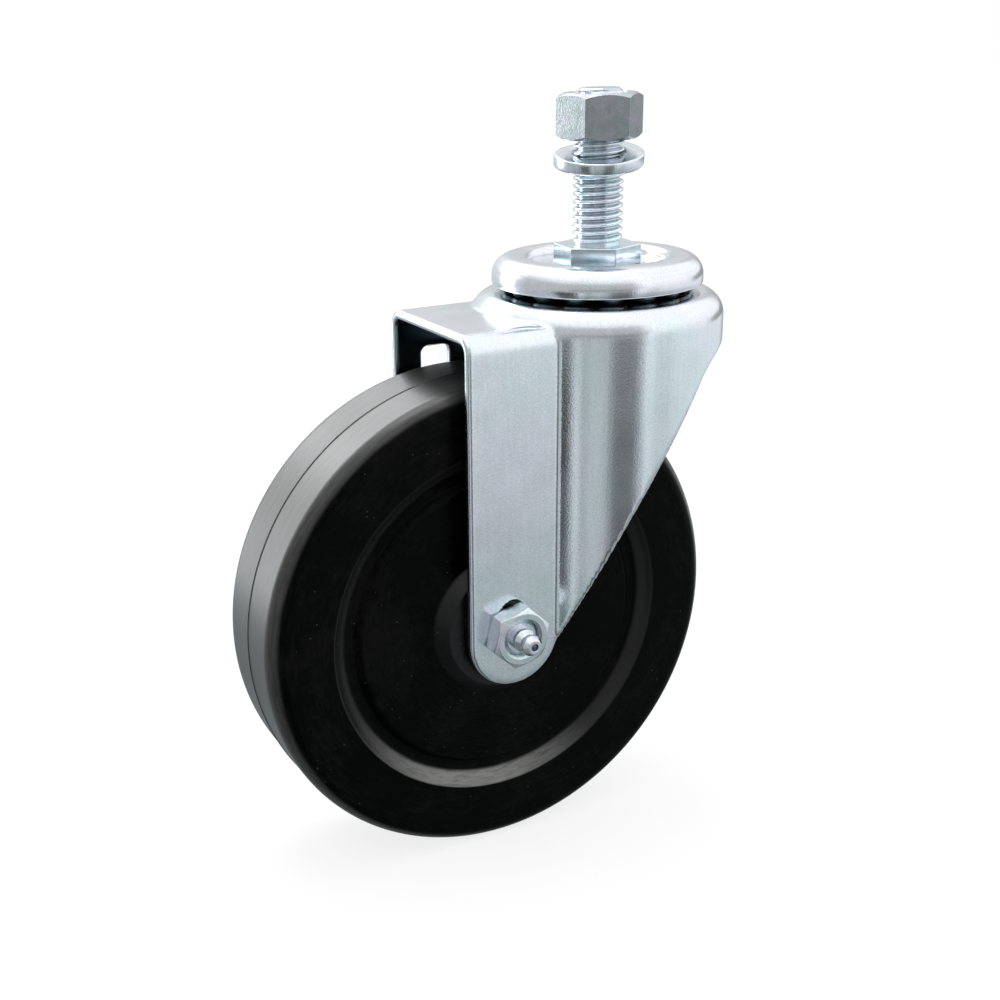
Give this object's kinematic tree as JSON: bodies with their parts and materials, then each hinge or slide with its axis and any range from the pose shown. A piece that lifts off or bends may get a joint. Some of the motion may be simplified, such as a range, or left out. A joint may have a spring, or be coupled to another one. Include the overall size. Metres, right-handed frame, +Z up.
{
  "type": "threaded stem castor",
  "caption": "Swivel castor on a threaded stem: zinc-plated ball-race fork with a solid rubber wheel on a greased roller bearing.",
  "frame": {"origin": "on the swivel axis at the stem's shoulder, the face that is drawn up under the furniture", "axes": "+Z up along the stem; the fork and wheel trail towards -X; the grease nipple is on the -Y side"},
  "size_m": [0.133, 0.0656, 0.1937],
  "materials": {
    "stem_zinc": "satin",
    "nut_zinc": "satin",
    "fork_zinc": "satin",
    "race_steel": "satin",
    "ball_steel": "polished",
    "rubber": "semi-gloss"
  },
  "bodies": {
    "stem_body": {"stem": "stem_zinc", "upper_race": "fork_zinc", "lower_race": "race_steel"},
    "upper_ball_set": {"upper_balls": "ball_steel"},
    "lower_ball_set": {"lower_balls": "ball_steel"},
    "washer_body": {"lock_washer": "nut_zinc"},
    "nut_body": {"stem_nut": "nut_zinc"},
    "fork_body": {"fork": "fork_zinc", "axle_bolt": "nut_zinc", "axle_nut": "nut_zinc", "grease_nipple": "nut_zinc", "nipple_ball": "ball_steel", "nipple_spring": "ball_steel", "spanner_bushing": "ball_steel", "thrust_washer_near": "race_steel", "thrust_washer_far": "race_steel"},
    "roller_set": {"roller_cage": "race_steel", "rollers": "ball_steel"},
    "wheel_body": {"wheel": "rubber", "bearing_cup": "ball_steel"}
  },
  "joints": [
    {"name": "swivel", "type": "hinge", "parent": "stem_body", "child": "fork_body", "pos_m": [0, 0, 0], "axis": [0, 0, 1], "continuous": true},
    {"name": "upper_row_turn", "type": "hinge", "parent": "stem_body", "child": "upper_ball_set", "pos_m": [0, 0, 0], "axis": [0, 0, 1], "continuous": true},
    {"name": "lower_row_turn", "type": "hinge", "parent": "stem_body", "child": "lower_ball_set", "pos_m": [0, 0, 0], "axis": [0, 0, 1], "continuous": true},
    {"name": "wheel_spin", "type": "hinge", "parent": "fork_body", "child": "wheel_body", "pos_m": [-0.037, 0, -0.0921], "axis": [0, 1, 0], "continuous": true},
    {"name": "roller_turn", "type": "hinge", "parent": "fork_body", "child": "roller_set", "pos_m": [-0.037, 0, -0.0921], "axis": [0, 1, 0], "continuous": true},
    {"name": "washer_slide", "type": "slide", "parent": "stem_body", "child": "washer_body", "axis": [0, 0, 1], "range_m": [-0.0172, 0.01]},
    {"name": "nut_turn", "type": "hinge", "parent": "washer_body", "child": "nut_body", "pos_m": [0, 0, 0.0315], "axis": [0, 0, 1], "range_deg": [-3160, 1840]}
  ],
  "couplings": [
    {"joint": "upper_row_turn", "follows": "swivel", "ratio": 0.5},
    {"joint": "lower_row_turn", "follows": "swivel", "ratio": 0.5},
    {"joint": "roller_turn", "follows": "wheel_spin", "ratio": 0.6376},
    {"joint": "washer_slide", "follows": "nut_turn", "m_per_rad": 0.00031099}
  ]
}
